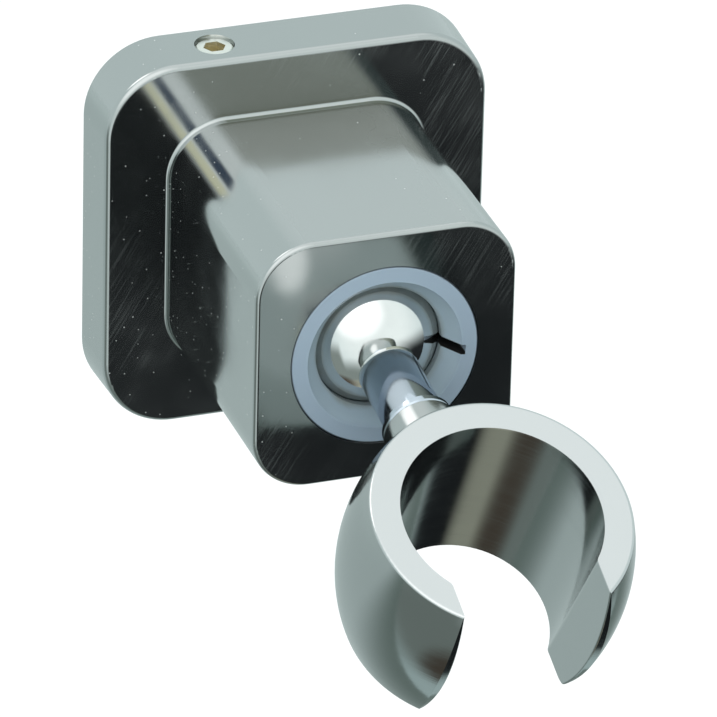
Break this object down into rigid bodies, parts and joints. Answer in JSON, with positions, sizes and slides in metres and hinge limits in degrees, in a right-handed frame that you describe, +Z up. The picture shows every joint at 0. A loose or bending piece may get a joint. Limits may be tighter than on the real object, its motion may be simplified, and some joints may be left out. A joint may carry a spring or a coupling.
{
  "type": "hand shower holder",
  "caption": "Chrome wall bracket with a rounded square flange and boss, and a ball joint that carries an open, cone-seated cradle for a hand shower.",
  "frame": {"origin": "centre of the back face, on the wall", "axes": "+Y into the wall, so the front faces -Y; +Z up; +X to the right seen from the front"},
  "size_m": [0.05, 0.0904, 0.053],
  "materials": {
    "chrome": "polished chrome plate with fine polishing marks",
    "screw_steel": "passivated steel",
    "ring_plastic": "moulded bluish white plastic",
    "spring_steel": "plain spring steel",
    "cast_zinc": "die-cast, uncoated",
    "pad_plastic": "moulded natural plastic"
  },
  "bodies": {
    "bracket": {"bracket_body": "chrome", "wall_plate": "cast_zinc", "grub_screw": "screw_steel", "retaining_ring": "ring_plastic", "seat_spring": "spring_steel"},
    "ball_cup": {"pressure_pad": "pad_plastic"},
    "ball": {"ball_stud": "chrome"},
    "holder": {"cradle": "chrome"}
  },
  "joints": [
    {"name": "seat_swivel", "type": "hinge", "parent": "bracket", "child": "ball_cup", "pos_m": [0, -0.034, 0], "axis": [0, -1, 0], "continuous": true},
    {"name": "ball_tilt", "type": "hinge", "parent": "ball_cup", "child": "ball", "pos_m": [0, -0.034, 0], "axis": [0.9824, 0, 0.187], "range_deg": [-43.5, 15.4]},
    {"name": "cradle_twist", "type": "hinge", "parent": "ball", "child": "holder", "pos_m": [0, -0.034, 0], "axis": [0.0457, -0.9696, -0.2402], "continuous": true}
  ]
}
